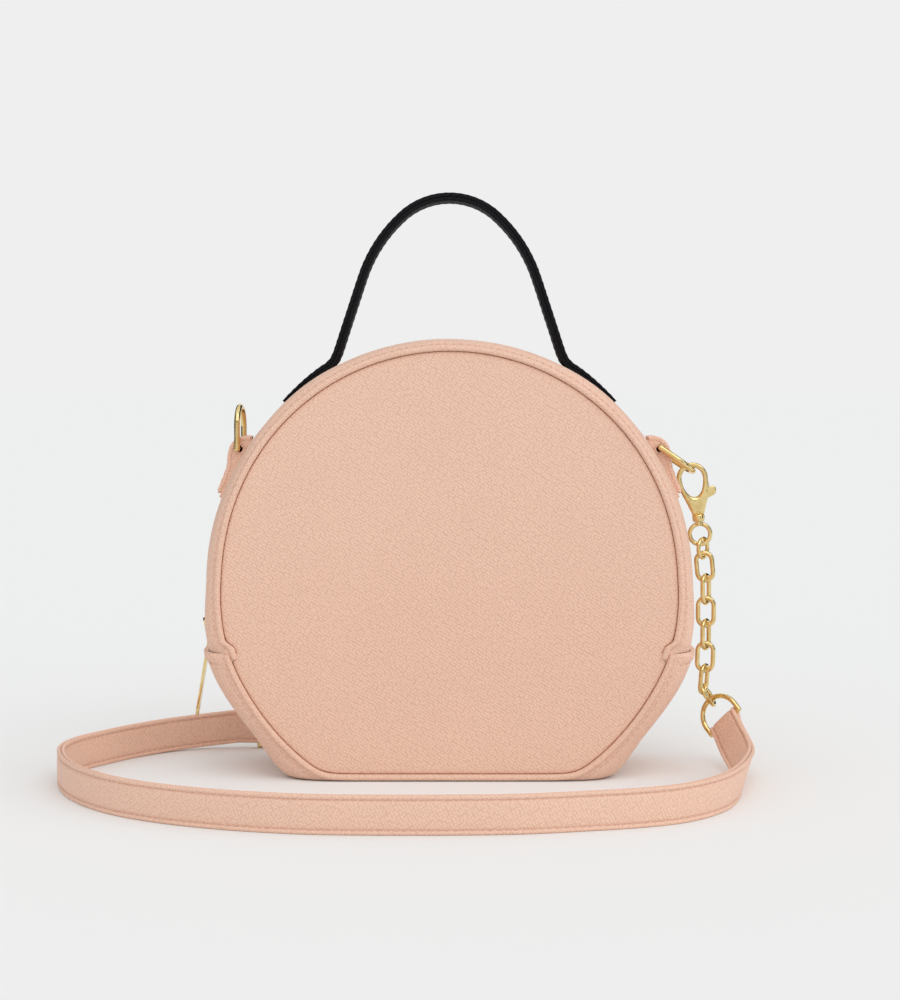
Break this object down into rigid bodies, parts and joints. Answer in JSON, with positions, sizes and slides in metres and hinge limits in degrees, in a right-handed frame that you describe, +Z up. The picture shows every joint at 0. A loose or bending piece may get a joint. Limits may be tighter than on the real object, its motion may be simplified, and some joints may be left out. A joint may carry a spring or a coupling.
{
  "type": "circle bag",
  "caption": "Round boxy leather handbag with a flat base, zipped gusset, arched top handle and a shoulder strap on chains with swivel clasps.",
  "frame": {"origin": "centre of the flat base, on the surface that the bag stands on", "axes": "+Z up, -Y out of the front panel, +X to the right of someone looking at the front"},
  "size_m": [0.2942, 0.1977, 0.2484],
  "materials": {
    "blush_leather": "pebble grain, soft sheen",
    "black_leather": "fine grain, satin",
    "lining": "woven, matt",
    "zip_tape": "woven, matt",
    "board": "pressed fibre board, matt",
    "gold_metal": "polished light gold",
    "spring_steel": "drawn wire"
  },
  "bodies": {
    "bag": {"front_panel": "blush_leather", "front_board": "board", "front_lining": "lining", "front_piping_upper": "blush_leather", "front_piping_lower": "blush_leather", "front_gusset": "blush_leather", "front_gusset_lining": "lining", "base_gusset": "blush_leather", "base_board": "board", "base_lining": "lining", "back_panel_lower": "blush_leather", "back_lining_lower": "lining", "back_piping_lower": "blush_leather", "back_piping_ends": "blush_leather", "back_gusset_ends": "blush_leather", "zip_tape_front": "zip_tape", "zip_teeth_front": "gold_metal", "zip_tape_ends": "zip_tape", "zip_teeth_ends": "gold_metal", "zip_stops": "gold_metal", "handle_outer": "black_leather", "handle_inner": "black_leather", "ring_tab_left": "blush_leather", "ring_tab_right": "blush_leather", "strap": "blush_leather", "strap_fold_near": "blush_leather", "strap_fold_far": "blush_leather", "strap_ring_near": "gold_metal", "strap_ring_far": "gold_metal", "chain_near": "gold_metal", "chain_far": "gold_metal", "jump_ring_near": "gold_metal", "jump_ring_far": "gold_metal", "clasp_eye_near": "gold_metal", "clasp_eye_far": "gold_metal"},
    "back_flap": {"back_panel": "blush_leather", "back_board": "board", "back_lining": "lining", "back_piping": "blush_leather", "back_gusset": "blush_leather", "zip_tape_back": "zip_tape", "zip_teeth_back": "gold_metal"},
    "zip_slider": {"zip_slider": "gold_metal"},
    "zip_pull": {"zip_pull": "gold_metal"},
    "d_ring_left": {"d_ring_left": "gold_metal"},
    "d_ring_right": {"d_ring_right": "gold_metal"},
    "clasp_near": {"clasp_body_near": "gold_metal", "clasp_pin_near": "gold_metal", "clasp_spring_near": "spring_steel"},
    "clasp_gate_near": {"clasp_gate_near": "gold_metal"},
    "clasp_far": {"clasp_body_far": "gold_metal", "clasp_pin_far": "gold_metal", "clasp_spring_far": "spring_steel"},
    "clasp_gate_far": {"clasp_gate_far": "gold_metal"}
  },
  "joints": [
    {"name": "back_flap_fold", "type": "hinge", "parent": "bag", "child": "back_flap", "pos_m": [0, 0.035, 0.07735], "axis": [-1, 0, 0], "range_deg": [0, 45]},
    {"name": "zip_slider_run", "type": "hinge", "parent": "bag", "child": "zip_slider", "pos_m": [0, 0.0185, 0.0805], "axis": [0, 1, 0], "range_deg": [0, 202]},
    {"name": "zip_pull_swing", "type": "hinge", "parent": "zip_slider", "child": "zip_pull", "pos_m": [-0.10568, 0.0185, 0.05727], "axis": [0, 1, 0], "range_deg": [0, 130]},
    {"name": "d_ring_left_swing", "type": "hinge", "parent": "bag", "child": "d_ring_left", "pos_m": [-0.0906, 0.004, 0.1387], "axis": [0.0698, 0.9976, 0], "range_deg": [-120, 15]},
    {"name": "d_ring_right_swing", "type": "hinge", "parent": "bag", "child": "d_ring_right", "pos_m": [0.0906, 0.004, 0.1387], "axis": [-0.0294, 0.9986, -0.0433], "range_deg": [-1, 6]},
    {"name": "clasp_swivel_near", "type": "hinge", "parent": "bag", "child": "clasp_near", "pos_m": [0.1083, 0.004, 0.107], "axis": [-0.1011, 0, 0.9949], "range_deg": [-15, 15]},
    {"name": "clasp_gate_turn_near", "type": "hinge", "parent": "clasp_near", "child": "clasp_gate_near", "pos_m": [0.10759, 0.004, 0.11597], "axis": [0, 1, 0], "range_deg": [0, 20], "stiffness_Nm_per_rad": 0.01, "springref_deg": -17.19},
    {"name": "clasp_swivel_far", "type": "hinge", "parent": "bag", "child": "clasp_far", "pos_m": [0.0062, 0.05, 0.00295], "axis": [0.9986, 0, -0.0523], "continuous": true},
    {"name": "clasp_gate_turn_far", "type": "hinge", "parent": "clasp_far", "child": "clasp_gate_far", "pos_m": [0.01519, 0.0502, 0.00248], "axis": [0.0523, 0, 0.9986], "range_deg": [0, 20], "stiffness_Nm_per_rad": 0.01, "springref_deg": -17.19}
  ]
}
